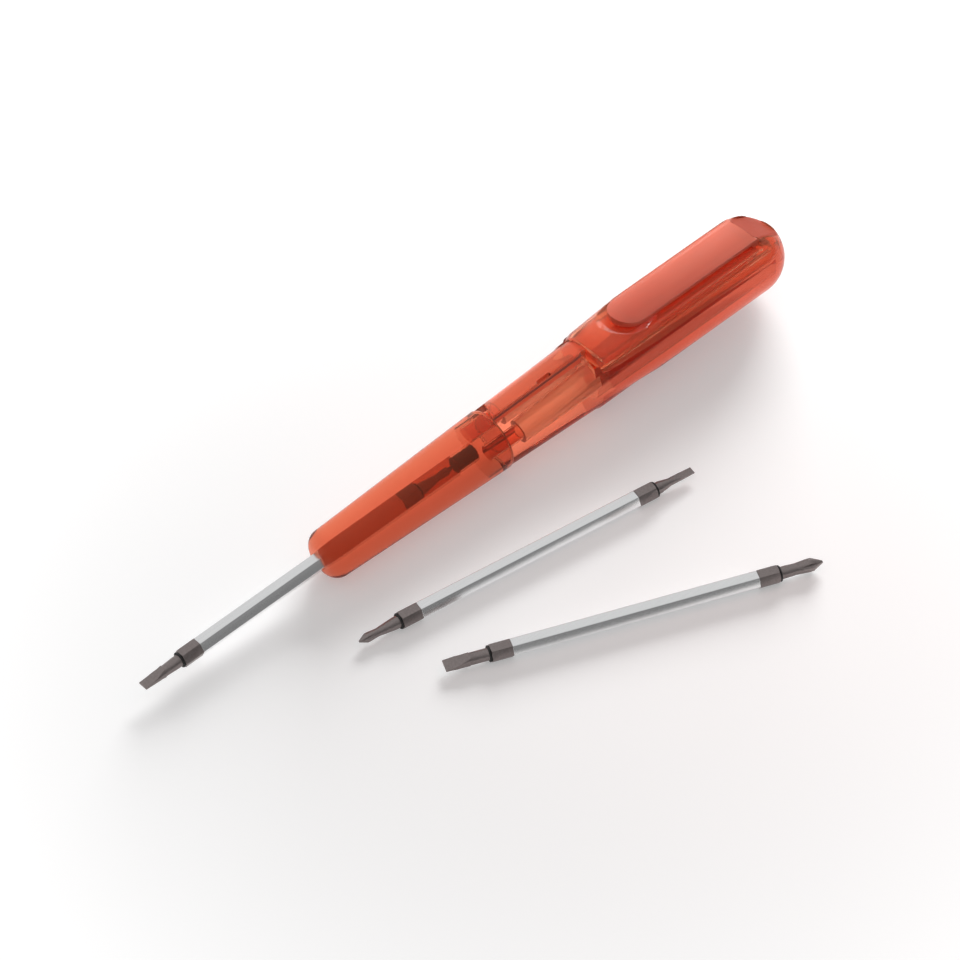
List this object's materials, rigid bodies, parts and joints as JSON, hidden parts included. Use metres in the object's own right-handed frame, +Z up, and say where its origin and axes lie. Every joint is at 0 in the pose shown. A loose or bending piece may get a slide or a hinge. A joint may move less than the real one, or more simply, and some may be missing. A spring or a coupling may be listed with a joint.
{
  "type": "pocket screwdriver",
  "caption": "Pocket screwdriver: a translucent handle with a sliding storage cover and a pocket clip, a double-ended hexagonal blade in its nose, and spare blades beside it.",
  "frame": {"origin": "centre of the bounding box of everything that lies on the bench, on the bench surface", "axes": "+X along the tool from its working tip to its tail as seen from above, +Z up off the bench, +Y away from the spare blades"},
  "size_m": [0.1701, 0.0737, 0.0188],
  "materials": {
    "grip_resin": "clear moulded, polished",
    "body_resin": "clear moulded, polished",
    "cradle_resin": "clear moulded, satin",
    "cover_resin": "clear moulded, polished",
    "clip_resin": "clear moulded, satin top",
    "magnet": "dark sintered",
    "shank_steel": "satin chrome",
    "bit_steel": "dark burnished, fine ground tips",
    "ring_rubber": "matte black"
  },
  "bodies": {
    "handle": {"front_grip": "grip_resin", "magazine_body": "body_resin", "blade_cradle": "cradle_resin", "socket_magnet": "magnet", "spare_1_shank": "shank_steel", "spare_1_cross_bit": "bit_steel", "spare_1_slot_bit": "bit_steel", "spare_1_front_ring": "ring_rubber", "spare_1_rear_ring": "ring_rubber", "spare_2_shank": "shank_steel", "spare_2_slot_bit": "bit_steel", "spare_2_cross_bit": "bit_steel", "spare_2_front_ring": "ring_rubber", "spare_2_rear_ring": "ring_rubber"},
    "cover": {"sliding_cover": "cover_resin"},
    "clip": {"pocket_clip": "clip_resin"},
    "fitted_blade": {"fitted_shank": "shank_steel", "fitted_slot_bit": "bit_steel", "fitted_cross_bit": "bit_steel", "fitted_front_ring": "ring_rubber", "fitted_rear_ring": "ring_rubber"}
  },
  "joints": [
    {"name": "blade_slide", "type": "slide", "parent": "handle", "child": "fitted_blade", "axis": [-0.9995, 0, -0.0331], "range_m": [0, 0.04]},
    {"name": "cover_slide", "type": "slide", "parent": "handle", "child": "cover", "axis": [0.9995, 0, 0.0331], "range_m": [0, 0.078]},
    {"name": "clip_flex", "type": "hinge", "parent": "cover", "child": "clip", "pos_m": [0.076, 0.02915, 0.01699], "axis": [0.0046, 0.9903, -0.1391], "range_deg": [0, 5]}
  ]
}
